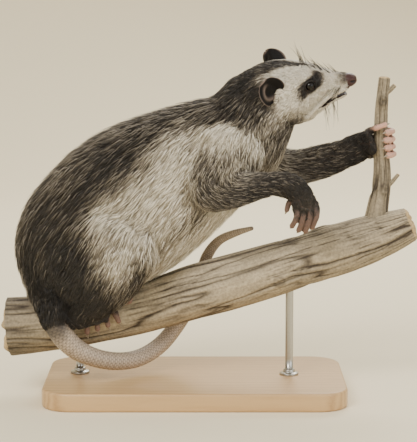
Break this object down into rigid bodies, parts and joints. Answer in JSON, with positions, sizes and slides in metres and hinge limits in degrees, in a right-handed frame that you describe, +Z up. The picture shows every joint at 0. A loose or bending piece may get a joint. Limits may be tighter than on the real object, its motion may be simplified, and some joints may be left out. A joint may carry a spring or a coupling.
{
  "type": "opossum",
  "caption": "Life-size Virginia opossum that clings to a cut branch and its upright stem, with its tail looped below, on a plain display stand.",
  "frame": {"origin": "middle of the underside of the stand's base, which rests on the floor", "axes": "+Z up, +X the way the animal faces along the branch, +Y to its left"},
  "size_m": [0.4111, 0.17, 0.3453],
  "materials": {
    "coat": "long grizzled grey fur",
    "face_fur": "short whitish fur",
    "dark_fur": "short blackish fur",
    "skin_pink": "bare pinkish skin",
    "tail_skin": "finely scaled pale skin",
    "ear_skin": "bare black skin",
    "eye": "wet black",
    "bark": "rough weathered bark",
    "base_wood": "satin",
    "rod_steel": "brushed"
  },
  "bodies": {
    "root": {"torso": "coat", "neck": "coat", "head": "face_fur", "jaw": "face_fur", "nose": "skin_pink", "ear_left": "ear_skin", "ear_right": "ear_skin", "eye_left": "eye", "eye_right": "eye", "upper_foreleg_left": "dark_fur", "upper_foreleg_right": "dark_fur", "lower_foreleg_left": "dark_fur", "lower_foreleg_right": "dark_fur", "forefoot_left": "skin_pink", "forefoot_right": "skin_pink", "thigh_left": "coat", "thigh_right": "coat", "shank_left": "dark_fur", "shank_right": "dark_fur", "hindfoot_left": "skin_pink", "hindfoot_right": "skin_pink", "tail_1": "tail_skin", "tail_2": "tail_skin", "tail_3": "tail_skin", "tail_4": "tail_skin", "tail_5": "tail_skin", "perch_branch": "bark", "perch_stem": "bark", "stand_base": "base_wood", "stand_rod_rear": "rod_steel", "stand_rod_front": "rod_steel"}
  },
  "joints": []
}
